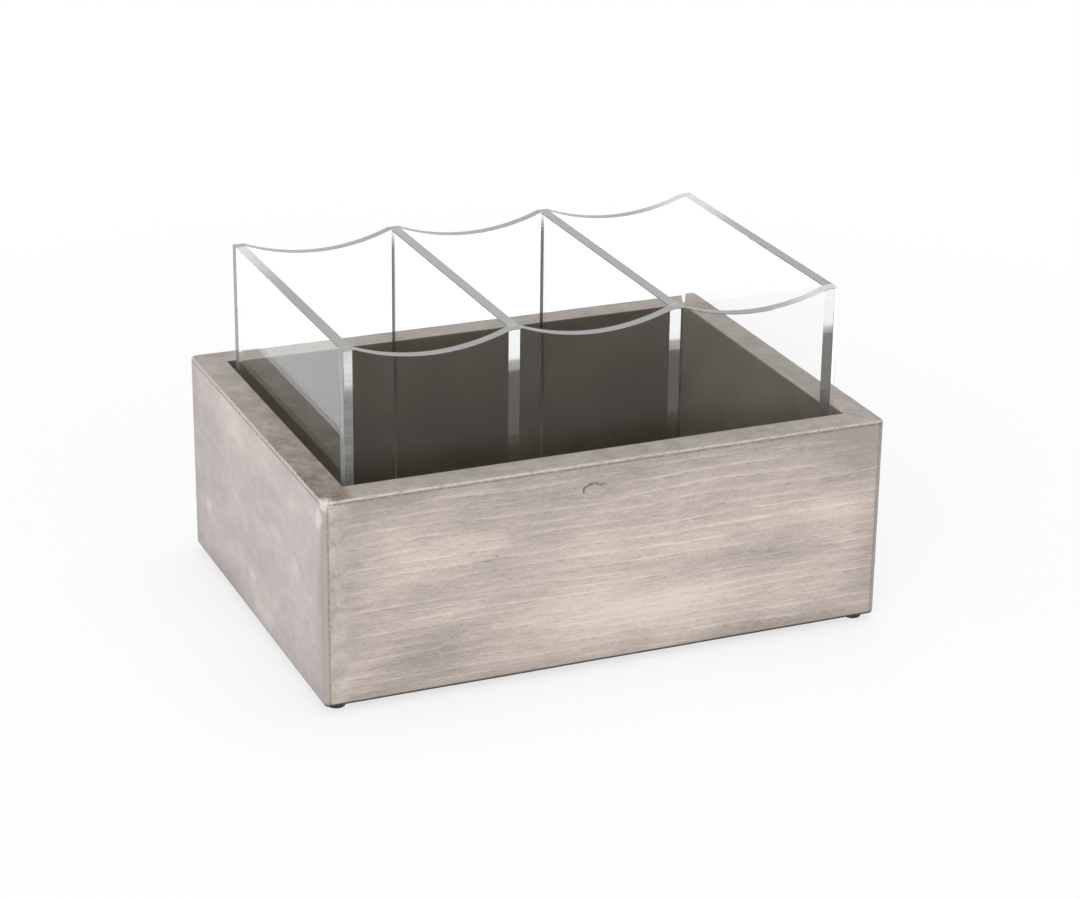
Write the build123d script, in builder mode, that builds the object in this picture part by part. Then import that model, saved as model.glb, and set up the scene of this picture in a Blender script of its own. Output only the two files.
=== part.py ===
from build123d import *
import os

# Table caddy: an open wooden box on four rubber feet, and a clear acrylic insert with three
# compartments that stands loose in the box and lifts straight up out of it.
# Sizes are in millimetres. The origin is on the table, under the middle of the box.
# +X points right, -Y is the front and +Z points up.

# ---------------------------------------------------------------- wooden box
box_width = 305.0               # outside, left to right
box_depth = 220.0               # outside, front to back
board_height = 110.0            # from the underside of the boards to the rim
side_board_thickness = 16.0     # left and right boards
long_board_thickness = 16.0     # front and back boards
lap_depth = 8.0                 # how far a long board's end goes into a side board
corner_radius = 2.5             # upright outside corners
rim_radius = 1.5                # outer edge of the rim
underside_radius = 2.0          # outer edge along the bottom

# ---------------------------------------------------------------- base panel
base_thickness = 6.0
base_rabbet_width = 8.0         # how far the panel goes in under each board
base_fit = 0.3                  # gap between the panel's edge and its rabbet

# ---------------------------------------------------------------- brads
brad_diameter = 1.6
brad_fit = 0.02                 # gap round a brad in the wood
brad_set = 1.0                  # how deep a brad's head lies under the surface
corner_brad_length = 30.0
corner_brad_count = 3           # in each corner, one above the other
corner_brad_margin = 16.0       # from the rim and from the underside to the end brads
base_brad_length = 20.0
base_brad_inset = 4.0           # from the base panel's edge to a brad's middle
front_base_brads = 4            # along the front, and again along the back
side_base_brads = 2             # along each side
base_brad_margin = 34.0         # from the base panel's corner to the first brad

# ---------------------------------------------------------------- feet
foot_height = 3.0
foot_top_diameter = 11.0
foot_sole_diameter = 9.0
foot_sole_radius = 0.8          # rounding round the sole
foot_inset = 8.5                # from the box's outside to a foot's middle

# ---------------------------------------------------------------- clear insert
sheet_thickness = 6.0
insert_height = 171.0
insert_clearance_x = 3.0        # between the insert and the box, at each end
insert_clearance_y = 5.5        # between the insert and the box, at front and back
bay_count = 3
scallop_sag = 7.6               # how far the panels dip over the middle of each bay
sheet_edge_radius = 0.4         # polished outside edges of the panels

# ---------------------------------------------------------------- places worked out from the sizes
wood_bottom = foot_height
rim_height = wood_bottom + board_height
floor_height = wood_bottom + base_thickness
inner_width = box_width - 2 * side_board_thickness
inner_depth = box_depth - 2 * long_board_thickness
lip_thickness = side_board_thickness - lap_depth
long_board_length = box_width - 2 * lip_thickness
base_length = inner_width + 2 * base_rabbet_width - 2 * base_fit
base_width = inner_depth + 2 * base_rabbet_width - 2 * base_fit
brad_radius = brad_diameter / 2
bore_radius = brad_radius + brad_fit
insert_width = inner_width - 2 * insert_clearance_x
insert_depth = inner_depth - 2 * insert_clearance_y
wall_length = insert_depth - 2 * sheet_thickness
bay_pitch = (insert_width - sheet_thickness) / bay_count
bay_width = bay_pitch - sheet_thickness
overrun = 1.0                   # how far a cutting solid stands proud of what it cuts

ALIGN_BOTTOM = (Align.CENTER, Align.CENTER, Align.MIN)


def spread(count, low, high):
    """Evenly spaced places from low to high."""
    if count < 2:
        return [(low + high) / 2]
    return [low + (high - low) * i / (count - 1) for i in range(count)]


# Places of the brads. A corner brad lies along X in the middle of a long board's thickness.
corner_brad_heights = spread(
    corner_brad_count, wood_bottom + corner_brad_margin, rim_height - corner_brad_margin
)
long_board_y = (box_depth - long_board_thickness) / 2
corner_brad_head_x = box_width / 2 - brad_set

# A base brad stands upright near the base panel's edge, driven up into the board over it with
# its head flush with the panel's underside.
base_brad_x = base_length / 2 - base_brad_inset
base_brad_y = base_width / 2 - base_brad_inset
base_brad_reach_x = base_length / 2 - base_brad_margin
base_brad_reach_y = base_width / 2 - base_brad_margin
front_brad_places = [
    (x, end * base_brad_y)
    for x in spread(front_base_brads, -base_brad_reach_x, base_brad_reach_x)
    for end in (-1, 1)
]
side_brad_places = [
    (side * base_brad_x, y)
    for y in spread(side_base_brads, -base_brad_reach_y, base_brad_reach_y)
    for side in (-1, 1)
]


# ---------------------------------------------------------------- pieces of the box
def corner_bars(radius, sides, ends, mode=Mode.ADD):
    """Round bars along X where the corner brads lie, from their heads inwards."""
    for side in sides:
        for end in ends:
            for height in corner_brad_heights:
                head = (side * corner_brad_head_x, end * long_board_y, height)
                with Locations(Plane(origin=head, z_dir=(-side, 0, 0))):
                    Cylinder(radius, corner_brad_length, align=ALIGN_BOTTOM, mode=mode)


def base_bars(radius, places, mode=Mode.ADD):
    """Upright round bars where the base brads stand, from the panel's underside upwards."""
    with Locations([(x, y, wood_bottom) for x, y in places]):
        Cylinder(radius, base_brad_length, align=ALIGN_BOTTOM, mode=mode)


def side_board(side):
    """Full-depth board with a rabbet at each end and one along the bottom. side is -1 or 1."""
    middle_x = side * (box_width - side_board_thickness) / 2
    inner_x = side * inner_width / 2
    with BuildPart() as board:
        with Locations((middle_x, 0, wood_bottom)):
            Box(side_board_thickness, box_depth, board_height, align=ALIGN_BOTTOM)
        outer_face = board.faces().sort_by(Axis.X)[-1 if side > 0 else 0]
        fillet(outer_face.edges().filter_by(Axis.Z), corner_radius)
        for face, radius in (
            (board.faces().sort_by(Axis.Z)[-1], rim_radius),
            (board.faces().sort_by(Axis.Z)[0], underside_radius),
        ):
            fillet(face.edges().filter_by(lambda e: abs(e.center().X - inner_x) > 0.01), radius)
        # end rabbets for the front and back boards
        with Locations(*[(inner_x, end * long_board_y, wood_bottom - overrun) for end in (-1, 1)]):
            Box(
                2 * lap_depth,
                long_board_thickness,
                board_height + 2 * overrun,
                align=ALIGN_BOTTOM,
                mode=Mode.SUBTRACT,
            )
        # bottom rabbet for the base panel
        with Locations((inner_x, 0, wood_bottom - overrun)):
            Box(
                2 * base_rabbet_width,
                box_depth,
                base_thickness + overrun,
                align=ALIGN_BOTTOM,
                mode=Mode.SUBTRACT,
            )
        corner_bars(bore_radius, [side], [-1, 1], mode=Mode.SUBTRACT)
        base_bars(bore_radius, [p for p in side_brad_places if p[0] * side > 0], mode=Mode.SUBTRACT)
    return board


def long_board(end):
    """Front or back board with square ends and a rabbet along the bottom. end is -1 or 1."""
    with BuildPart() as board:
        with Locations((0, end * long_board_y, wood_bottom)):
            Box(long_board_length, long_board_thickness, board_height, align=ALIGN_BOTTOM)
        outer_face = board.faces().sort_by(Axis.Y)[-1 if end > 0 else 0]
        underside_edge, rim_edge = outer_face.edges().filter_by(Axis.X).sort_by(Axis.Z)
        fillet(rim_edge, rim_radius)
        fillet(underside_edge, underside_radius)
        with Locations((0, end * inner_depth / 2, wood_bottom - overrun)):
            Box(
                long_board_length,
                2 * base_rabbet_width,
                base_thickness + overrun,
                align=ALIGN_BOTTOM,
                mode=Mode.SUBTRACT,
            )
        corner_bars(bore_radius, [-1, 1], [end], mode=Mode.SUBTRACT)
        base_bars(bore_radius, [p for p in front_brad_places if p[1] * end > 0], mode=Mode.SUBTRACT)
    return board


def rubber_foot(side, end):
    """Stick-on bumper: a short cone that narrows to a rounded sole."""
    place = (side * (box_width / 2 - foot_inset), end * (box_depth / 2 - foot_inset), 0)
    sole_corner = (foot_sole_diameter / 2, 0)
    top_corner = (foot_top_diameter / 2, foot_height)
    with BuildPart() as foot:
        with BuildSketch(Plane(origin=place, x_dir=(1, 0, 0), z_dir=(0, -1, 0))) as profile:
            Polygon((0, 0), sole_corner, top_corner, (0, foot_height), align=None)
            fillet(profile.vertices().sort_by_distance(sole_corner)[0], foot_sole_radius)
        revolve(axis=Axis(place, (0, 0, 1)))
    return foot


# ---------------------------------------------------------------- pieces of the insert
def scalloped_panel(end):
    """Panel the full width of the insert, dipping in an arc over each bay. end is -1 or 1."""
    outer_y = end * insert_depth / 2
    start_y = outer_y if end > 0 else outer_y + sheet_thickness
    half = insert_width / 2
    top = floor_height + insert_height
    with BuildPart() as panel:
        with BuildSketch(Plane.XZ.offset(-start_y)):
            with BuildLine():
                Polyline((-half, top), (-half, floor_height), (half, floor_height), (half, top))
                for bay in range(bay_count):
                    middle = (bay - (bay_count - 1) / 2) * bay_pitch
                    low = middle - bay_width / 2
                    high = middle + bay_width / 2
                    Line((low - sheet_thickness, top), (low, top))
                    ThreePointArc((low, top), (middle, top - scallop_sag), (high, top))
                Line((high, top), (high + sheet_thickness, top))
            make_face()
        extrude(amount=sheet_thickness)
        fillet(panel.edges().filter_by(Axis.Z), sheet_edge_radius)
    return panel


def cross_plate(middle_x, foot_z):
    """Plate that runs front to back between the panels, up to the insert's top."""
    with BuildPart() as plate:
        with Locations((middle_x, 0, foot_z)):
            Box(
                sheet_thickness,
                wall_length,
                floor_height + insert_height - foot_z,
                align=ALIGN_BOTTOM,
            )
    return plate


# ---------------------------------------------------------------- the box
left_board = side_board(-1)
right_board = side_board(1)
front_board = long_board(-1)
back_board = long_board(1)

with BuildPart() as base_panel:
    with Locations((0, 0, wood_bottom)):
        Box(base_length, base_width, base_thickness, align=ALIGN_BOTTOM)
    base_bars(bore_radius, front_brad_places + side_brad_places, mode=Mode.SUBTRACT)

with BuildPart() as corner_brads:
    corner_bars(brad_radius, [-1, 1], [-1, 1])

with BuildPart() as base_brads:
    base_bars(brad_radius, front_brad_places + side_brad_places)

foot_front_left = rubber_foot(-1, -1)
foot_front_right = rubber_foot(1, -1)
foot_back_left = rubber_foot(-1, 1)
foot_back_right = rubber_foot(1, 1)

# ---------------------------------------------------------------- the insert
insert_front_panel = scalloped_panel(-1)
insert_back_panel = scalloped_panel(1)

insert_wall_x = (insert_width - sheet_thickness) / 2
insert_left_wall = cross_plate(-insert_wall_x, floor_height)
insert_right_wall = cross_plate(insert_wall_x, floor_height)

with BuildPart() as insert_base:
    with Locations((0, 0, floor_height)):
        Box(
            insert_width - 2 * sheet_thickness,
            wall_length,
            sheet_thickness,
            align=ALIGN_BOTTOM,
        )

insert_left_divider = cross_plate(-bay_pitch / 2, floor_height + sheet_thickness)
insert_right_divider = cross_plate(bay_pitch / 2, floor_height + sheet_thickness)

# ---------------------------------------------------------------- write the pieces
os.makedirs("parts", exist_ok=True)

pieces = {
    "front_board": front_board,
    "back_board": back_board,
    "left_board": left_board,
    "right_board": right_board,
    "base_panel": base_panel,
    "corner_brads": corner_brads,
    "base_brads": base_brads,
    "foot_front_left": foot_front_left,
    "foot_front_right": foot_front_right,
    "foot_back_left": foot_back_left,
    "foot_back_right": foot_back_right,
    "insert_front_panel": insert_front_panel,
    "insert_back_panel": insert_back_panel,
    "insert_left_wall": insert_left_wall,
    "insert_right_wall": insert_right_wall,
    "insert_base": insert_base,
    "insert_left_divider": insert_left_divider,
    "insert_right_divider": insert_right_divider,
}
for name, piece in pieces.items():
    piece.part.label = name
    export_step(piece.part, f"parts/{name}.step")
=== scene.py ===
# %% [markdown]
# # A table caddy: a washed wooden box with a clear lift-out insert
#
# The real thing is an open pine box with a grey limewash, dark inside, on four rubber feet. In it
# stands a loose insert of clear acrylic with three compartments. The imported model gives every
# solid and its place, so this lesson only makes the surfaces: it reads sizes from the frame and
# builds each visible piece where the frame says.

import math
from types import SimpleNamespace

import bmesh
import bpy
from mathutils import Matrix, Vector, noise


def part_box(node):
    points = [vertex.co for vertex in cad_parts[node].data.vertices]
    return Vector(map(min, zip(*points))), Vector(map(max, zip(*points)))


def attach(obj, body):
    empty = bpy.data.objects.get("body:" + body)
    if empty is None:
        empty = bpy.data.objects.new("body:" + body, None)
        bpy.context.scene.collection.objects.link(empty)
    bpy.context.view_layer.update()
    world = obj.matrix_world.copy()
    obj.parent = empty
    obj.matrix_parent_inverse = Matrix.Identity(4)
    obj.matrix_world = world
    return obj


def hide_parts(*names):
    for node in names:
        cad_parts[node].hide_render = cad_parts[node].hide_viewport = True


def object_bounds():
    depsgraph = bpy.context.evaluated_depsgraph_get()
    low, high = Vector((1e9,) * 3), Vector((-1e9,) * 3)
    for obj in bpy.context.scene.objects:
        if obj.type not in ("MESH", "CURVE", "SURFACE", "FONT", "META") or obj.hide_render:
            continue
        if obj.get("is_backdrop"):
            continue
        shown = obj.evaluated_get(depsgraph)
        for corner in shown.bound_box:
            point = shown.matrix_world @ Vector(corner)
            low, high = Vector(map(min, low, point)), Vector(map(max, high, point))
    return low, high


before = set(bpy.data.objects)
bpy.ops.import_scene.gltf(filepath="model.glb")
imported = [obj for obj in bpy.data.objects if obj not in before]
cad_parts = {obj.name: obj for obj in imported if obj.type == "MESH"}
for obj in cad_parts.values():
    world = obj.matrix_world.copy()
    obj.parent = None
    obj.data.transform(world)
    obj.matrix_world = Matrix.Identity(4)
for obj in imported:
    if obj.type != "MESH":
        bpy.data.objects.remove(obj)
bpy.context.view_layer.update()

# %% [markdown]
# ## Sizes
#
# Everything is in metres, and z = 0 is the table. Sizes that the frame holds are read from it, so
# that a board or a sheet can't drift from its solid. Only the roundings are written here, because
# a box has no record of them.

# %% Sizes of the box
mm = 0.001

half_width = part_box("right_board")[1].x
half_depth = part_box("right_board")[1].y
wood_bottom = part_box("right_board")[0].z
rim_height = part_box("right_board")[1].z
lip_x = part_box("front_board")[1].x              # where the front board ends and a side board's lip begins
inner_x = -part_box("left_board")[1].x            # inside faces of the box
inner_y = -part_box("front_board")[1].y
rebate_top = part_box("base_panel")[1].z          # underside of the boards over the base panel
lap = lip_x - inner_x                           # how deep the rebates are

corner_radius = 2.5 * mm
rim_radius = 1.5 * mm
underside_radius = 2.0 * mm
inner_rim_radius = 0.5 * mm

print("box", 2 * half_width, "x", 2 * half_depth, "rim at", rim_height)

# %% [markdown]
# ## Small helpers
#
# Colours are picked in a paint program as sRGB hex, but a shader works in linear light, so one
# function turns one into the other. Another adds a node, sets what it is told and links the
# sockets that it is given, so that a material reads like a list of steps. Every pattern is laid out
# in Object coordinates, which are real metres, so it keeps its true size on each piece.

# %% Colour and node helpers
def linear(hex_colour):
    """The linear colour of an sRGB hex such as #BEB2A8."""
    values = [int(hex_colour[i:i + 2], 16) / 255 for i in (1, 3, 5)]
    light = [v / 12.92 if v <= 0.04045 else ((v + 0.055) / 1.055) ** 2.4 for v in values]
    return (*light, 1.0)


def feed(tree, node, inputs):
    """Gives a node's sockets a value, or a link where the value is another node's socket."""
    for name, value in inputs.items():
        if isinstance(value, bpy.types.NodeSocket):
            tree.links.new(value, node.inputs[name])
        else:
            node.inputs[name].default_value = value


def add(tree, kind, inputs, output=0, **settings):
    """Adds a node and returns one of its outputs. inputs go to its sockets, and settings are its
    other properties."""
    node = tree.nodes.new("ShaderNode" + kind)
    for name, value in settings.items():
        setattr(node, name, value)
    feed(tree, node, inputs)
    return node.outputs[output]


MIX_A = 6           # the Mix node's colour sockets share their names with its number sockets
MIX_B = 7
MIX_RESULT = 2


def new_material(name):
    """A material with its node tree, its main shader and the place of a point on the piece."""
    material = bpy.data.materials.new(name)
    material.use_nodes = True
    tree = material.node_tree
    place = add(tree, "TexCoord", {}, "Object")
    return material, tree, tree.nodes["Principled BSDF"], place


print("mid grey in linear light:", round(linear("#808080")[0], 3))

# %% [markdown]
# ## Limewashed pine
#
# The boards are sanded pine, stained grey and then rubbed with a pale lime wax. The wax stays in
# the soft early wood and on raised fibres, so pale broken lines follow the growth rings, and big
# soft clouds show where the cloth left more or less of it. Here one number, the tone, says how much
# wax there is, from 0 for bare stain to 1 for a full coat. Each layer of the texture moves the tone
# a little, and only at the end do three colours turn it into paint, so that all the layers belong
# to one finish. What the steps share, such as where a point lies in the grain, is kept in wood.
#
# The first step is that grain space, where x runs along the board, so that a plain stretch draws
# long fibres. A slow noise bends it, because no real line is quite straight. The front board has a
# knot. A picture of one could be laid over the fibres, but real fibres flow round it, so points near
# it are pushed apart before the grain is looked up.

# %% Grain space
knot_place = (-9.0 * mm, -half_depth, 98.0 * mm)
knot_squeeze = (0.5, 1.0, 1.0)  # it is twice as long as it is high
knot_reach = 16.0 * mm          # fibres are pushed aside this far round it
knot_push = 2.8 * mm
knot_radius = 3.6 * mm
bend_size = 42 * mm             # the grain wanders sideways over this length
bend_squeeze = (0.35, 1.0, 1.0)
bend_depth = 7 * mm
wobble_depth = 24 * mm          # the outlines of rubbed spots wander more


def grain_space(wood, turn):
    """Finds where a point lies from the knot and in the grain. turn lays the grain along the board."""
    tree = wood.tree
    from_knot = add(tree, "VectorMath", {0: wood.place, 1: knot_place}, operation="SUBTRACT")
    wood.from_knot = add(tree, "VectorMath", {0: from_knot, 1: knot_squeeze}, operation="MULTIPLY")
    wood.knot_distance = add(tree, "VectorMath", {0: wood.from_knot}, "Value", operation="LENGTH")
    push = add(
        tree, "MapRange",
        {"Value": wood.knot_distance, "From Max": knot_reach, "To Min": knot_push, "To Max": 0.0},
        interpolation_type="SMOOTHSTEP",
    )
    away = add(tree, "VectorMath", {0: wood.from_knot}, operation="NORMALIZE")
    shift = add(tree, "VectorMath", {0: away, "Scale": push}, operation="SCALE")
    pushed = add(tree, "VectorMath", {0: wood.place, 1: shift}, operation="SUBTRACT")
    level = add(tree, "Mapping", {"Vector": pushed, "Rotation": (0.0, 0.0, turn)})
    slow_at = add(tree, "Mapping", {"Vector": level, "Scale": bend_squeeze})
    slow = add(tree, "TexNoise", {"Vector": slow_at, "Scale": 1 / bend_size, "Detail": 1.0}, "Color")
    bend = add(tree, "VectorMath", {0: slow, 1: (0.5, 0.5, 0.5)}, operation="SUBTRACT")
    wood.grain, wood.wobbly = (
        add(tree, "VectorMath", {0: bend, 1: (depth,) * 3, 2: start}, operation="MULTIPLY_ADD")
        for start, depth in ((level, bend_depth), (wood.place, wobble_depth))
    )


print("knot", 4 * knot_radius / mm, "mm long, grain bends over", bend_size / mm, "mm")

# %% [markdown]
# Six noises, from broad clouds down to speckle, stand for what the rubbing leaves. One noise with
# much detail has all sizes too, but not each size's own length along the grain.

# %% Layers of noise
layers = {                      # size across the grain, times longer along it, detail
    "clouds": (30 * mm, 2.6, 4.0),
    "streaks": (2.4 * mm, 15.0, 3.0),
    "fibres": (1.0 * mm, 6.0, 3.0),
    "flecks": (0.9 * mm, 3.0, 3.0),
    "speckle": (1.0 * mm, 1.0, 3.0),
    "smudges": (7.0 * mm, 1.4, 5.0),
}
layer_roughness = 0.58


def noise_layers(wood):
    """Lays the noises in the grain."""
    wood.layer = {}
    for title, (size, length, detail) in layers.items():
        squeeze = (1 / length, 1.0, 1.0)
        stretched = add(wood.tree, "Mapping", {"Vector": wood.grain, "Scale": squeeze})
        inputs = {"Vector": stretched, "Scale": 1 / size, "Detail": detail, "Roughness": layer_roughness}
        wood.layer[title] = add(wood.tree, "TexNoise", inputs)


print(len(layers), "layers of noise")

# %% [markdown]
# Rings could be drawn as stripes on each face, but a ring is a tube round the heart of the tree.
# Here the texture is that tube: a Wave texture in rings about a line along the board, bent by
# noise. Long grain then comes out by itself, wherever a board is cut. A ring is pale on its hard
# side and dark just under it, and both lines break up along the board.

# %% Growth rings
ring_spacing = 4.2 * mm
wave_turns = 2 * math.pi / 20   # a Wave texture of scale 1 has rings this far apart
ring_squeeze = (0.065, 1.0, 1.0)        # squeezes the grain's length, so a ring wanders slowly


def ring_lines(wood, heart):
    """Finds the pale and the dark side of each ring. heart is the middle of the tree."""
    tree = wood.tree
    rings_at = add(
        tree, "Mapping",
        {"Vector": wood.grain, "Location": (0.0, -heart[0], -heart[1]), "Scale": ring_squeeze},
    )
    rings = add(
        tree, "TexWave",
        {"Vector": rings_at, "Scale": wave_turns / ring_spacing, "Distortion": 9.0, "Detail": 2.0,
         "Detail Scale": 0.3, "Detail Roughness": 0.5},
        "Fac", wave_type="RINGS", rings_direction="X", wave_profile="SAW",
    )
    crest = add(tree, "MapRange", {"Value": rings, "From Min": 0.66, "From Max": 0.96})
    trough = add(tree, "MapRange", {"Value": rings, "From Min": 0.3, "From Max": 0.0})
    crest_breaks, trough_breaks = (
        add(
            tree, "MapRange", {"Value": wood.layer[title], "From Min": gone, "From Max": whole},
            interpolation_type="SMOOTHSTEP",
        )
        for title, gone, whole in (("streaks", 0.38, 0.6), ("fibres", 0.52, 0.36))
    )
    off_knot = add(
        tree, "MapRange",
        {"Value": wood.knot_distance, "From Min": knot_radius, "From Max": 2.4 * knot_radius},
    )
    crest_shows = add(tree, "Math", {0: crest_breaks, 1: off_knot}, operation="MULTIPLY")
    wood.pale_line = add(tree, "Math", {0: crest, 1: crest_shows}, operation="MULTIPLY")
    wood.dark_line = add(tree, "Math", {0: trough, 1: trough_breaks}, operation="MULTIPLY")


print("rings", ring_spacing / mm, "mm apart")

# %% [markdown]
# Wax and wear change towards the box's edges, the tone darkens towards some of them, and painted shade and
# highlight lie along them too. A mask could be painted by hand, but the box is a plain block in the middle
# of the frame, so a few subtractions tell how near each edge is.

# %% Gaps to the edges
def edge_gaps(wood):
    """Measures how far a point lies inside each outer edge of the box."""
    tree = wood.tree
    at = add(tree, "SeparateXYZ", {"Vector": wood.place}).node
    wood.x = at.outputs["X"]
    wood.y = at.outputs["Y"]
    height = at.outputs["Z"]
    aside = add(tree, "Math", {0: wood.x}, operation="ABSOLUTE")
    fore = add(tree, "Math", {0: wood.y}, operation="ABSOLUTE")
    wood.side_gap = add(tree, "Math", {0: half_width, 1: aside}, operation="SUBTRACT")
    end_gap = add(tree, "Math", {0: half_depth, 1: fore}, operation="SUBTRACT")
    wood.rim_gap = add(tree, "Math", {0: rim_height, 1: height}, operation="SUBTRACT")
    wood.foot_gap = add(tree, "Math", {0: height, 1: wood_bottom}, operation="SUBTRACT")
    wood.corner_gap = add(tree, "Math", {0: wood.side_gap, 1: end_gap}, operation="ADD")
    wood.on_long_face = add(
        tree, "MapRange", {"Value": end_gap, "From Min": 1.1 * mm, "From Max": 0.6 * mm}
    )


print("gaps are measured from the rim at", rim_height, "and the foot at", wood_bottom)

# %% [markdown]
# Now the tone can be added up. Each layer is centred on zero first, so that a stronger one spreads
# the tone and leaves the whole board as pale as it was. The cloth has also rubbed soft spots paler
# or barer. More noise could place them, but these sit where they do on the real boards.

# %% The tone
rim_fade = 42 * mm              # how far in from each edge the wax changes
foot_fade = 14 * mm
corner_fade = 26 * mm
foot_amount = -0.30
corner_amount = -0.14


def spot_distance(wood, middle, reach):
    """0 in the middle of a wobbly spot and 1 at its outline."""
    from_spot = add(
        wood.tree, "Mapping", {"Vector": wood.wobbly, "Location": middle, "Scale": reach},
        vector_type="TEXTURE",
    )
    return add(wood.tree, "VectorMath", {0: from_spot}, "Value", operation="LENGTH")


def wax_tone(wood, amounts, spots):
    """Adds up how far every layer, line, edge and spot moves the tone."""
    tree = wood.tree
    tone = amounts["start"]
    for title, fac in wood.layer.items():
        centred = add(tree, "Math", {0: fac, 1: 0.5}, operation="SUBTRACT")
        inputs = {0: centred, 1: amounts[title], 2: tone}
        tone = add(tree, "Math", inputs, operation="MULTIPLY_ADD")
    for line, amount in ((wood.pale_line, amounts["pale_line"]), (wood.dark_line, -amounts["dark_line"])):
        tone = add(tree, "Math", {0: line, 1: amount, 2: tone}, operation="MULTIPLY_ADD")
    # The tone falls towards the foot and the upright corners, and on the long boards towards the rim.
    fades = [
        (wood.rim_gap, rim_fade, amounts["under_rim"]),
        (wood.foot_gap, foot_fade, foot_amount),
        (wood.corner_gap, corner_fade, corner_amount),
        *((spot_distance(wood, middle, reach), 1.0, amount) for middle, reach, amount in spots),
    ]
    for distance, reach, amount in fades:
        fade = add(
            tree, "MapRange", {"Value": distance, "From Min": reach, "From Max": 0.0, "To Max": amount},
            interpolation_type="SMOOTHSTEP",
        )
        tone = add(tree, "Math", {0: tone, 1: fade}, operation="ADD")
    return tone


print("the wax changes up to", rim_fade / mm, "mm below the rim")

# %% Paint from the tone
def wax_paint(wood, tone, tones):
    """Turns the tone into three colours: bare grey stain, thin wax, full wax."""
    paint = linear(tones["bare"])
    for start, colour in ((0.0, tones["thin"]), (0.5, tones["full"])):
        share = add(wood.tree, "MapRange", {"Value": tone, "From Min": start, "From Max": start + 0.5})
        paint = add(
            wood.tree, "Mix", {"Factor": share, MIX_A: paint, MIX_B: linear(colour)}, MIX_RESULT,
            data_type="RGBA",
        )
    return paint


print("thin wax is reached at a tone of 0.5, and full wax at 1")

# %% [markdown]
# The joints are smoothed over with paste, which has no grain and takes the stain in speckles. There
# is most of it at the left joint. Small pits are left in it, and a few where the wax is thin.

# %% Filler
filler_full = 7 * mm            # paste covers a board's end up to here
filler_gone = 19 * mm
mottle_size = 9 * mm


def mottled(wood, detail, roughness, low, high):
    """A blotchy number, for paste and bare wood without grain."""
    inputs = {"Vector": wood.place, "Scale": 1 / mottle_size, "Detail": detail, "Roughness": roughness}
    blotches = add(wood.tree, "TexNoise", inputs)
    return add(wood.tree, "MapRange", {"Value": blotches, "From Min": low, "From Max": high})


def filler_coat(wood):
    """Where the filler lies, and its colour."""
    tree = wood.tree
    near_end = add(
        tree, "MapRange", {"Value": wood.side_gap, "From Min": filler_gone, "From Max": filler_full}
    )
    ragged = add(tree, "Math", {0: near_end, 1: wood.layer["fibres"]}, operation="ADD")
    spread = add(tree, "MapRange", {"Value": ragged, "From Min": 0.6, "From Max": 1.3})
    thinner = add(
        tree, "MapRange",
        {"Value": wood.x, "From Min": -inner_x, "From Max": inner_x, "To Min": 0.8, "To Max": 0.1},
    )
    patched = add(tree, "Math", {0: spread, 1: thinner}, operation="MULTIPLY")
    share = add(tree, "Math", {0: wood.on_long_face, 1: patched}, operation="MULTIPLY")
    speckled = mottled(wood, 5.0, 0.72, 0.32, 0.68)
    colour = add(
        tree, "Mix", {"Factor": speckled, MIX_A: linear("#9C928A"), MIX_B: linear("#D0C5BC")}, MIX_RESULT,
        data_type="RGBA",
    )
    return share, colour


print("filler reaches", filler_gone / mm, "mm from a side")

# %% Pits
pit_spacing = 6 * mm


def pits(wood, filler_share):
    """Where the small dark pits are."""
    tree = wood.tree
    cells = add(tree, "TexVoronoi", {"Vector": wood.grain, "Scale": 1 / pit_spacing})
    specks = add(tree, "MapRange", {"Value": cells, "From Min": 0.11, "From Max": 0.06})
    thin_wax = add(
        tree, "MapRange", {"Value": wood.layer["clouds"], "From Min": 0.48, "From Max": 0.4, "To Max": 0.6}
    )
    places = add(tree, "Math", {0: thin_wax, 1: filler_share}, operation="MAXIMUM")
    return add(tree, "Math", {0: specks, 1: places}, operation="MULTIPLY")


print("at most one pit in each", pit_spacing / mm, "mm")

# %% [markdown]
# Hands wipe the wax off the rim, so bare wood shows there. It is grey, and darker than the faces, partly as
# painted shade for the weaker light on the top. Along the left side it is brown and blotched, most of all
# towards the front.

# %% The rim
brown_reach = 0.6 * half_depth


def rim_bare_wood_and_shade(wood):
    """Where the rim's top is, and its colour: bare wood, darkened in part as painted shade."""
    tree = wood.tree
    share = add(
        tree, "MapRange", {"Value": wood.rim_gap, "From Min": 1.1 * mm, "From Max": 0.5 * mm},
        interpolation_type="SMOOTHSTEP",
    )
    wiped = mottled(wood, 6.0, 0.68, 0.34, 0.66)
    # Bare wood, whose grey is partly painted shade of the top.
    grey, brown = (
        add(
            tree, "Mix", {"Factor": wiped, MIX_A: linear(dark), MIX_B: linear(light)}, MIX_RESULT,
            data_type="RGBA",
        )
        for dark, light in (("#968E88", "#AEA69F"), ("#665B50", "#9F9389"))
    )
    leftmost = add(
        tree, "MapRange", {"Value": wood.x, "From Min": -inner_x + 2 * mm, "From Max": -inner_x - 1 * mm}
    )
    foremost = add(tree, "MapRange", {"Value": wood.y, "From Min": brown_reach, "From Max": -brown_reach})
    browned = add(tree, "Math", {0: leftmost, 1: foremost}, operation="MULTIPLY")
    colour = add(tree, "Mix", {"Factor": browned, MIX_A: grey, MIX_B: brown}, MIX_RESULT, data_type="RGBA")
    return share, colour


print("the rim is browned up to y =", round(brown_reach, 3))
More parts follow.
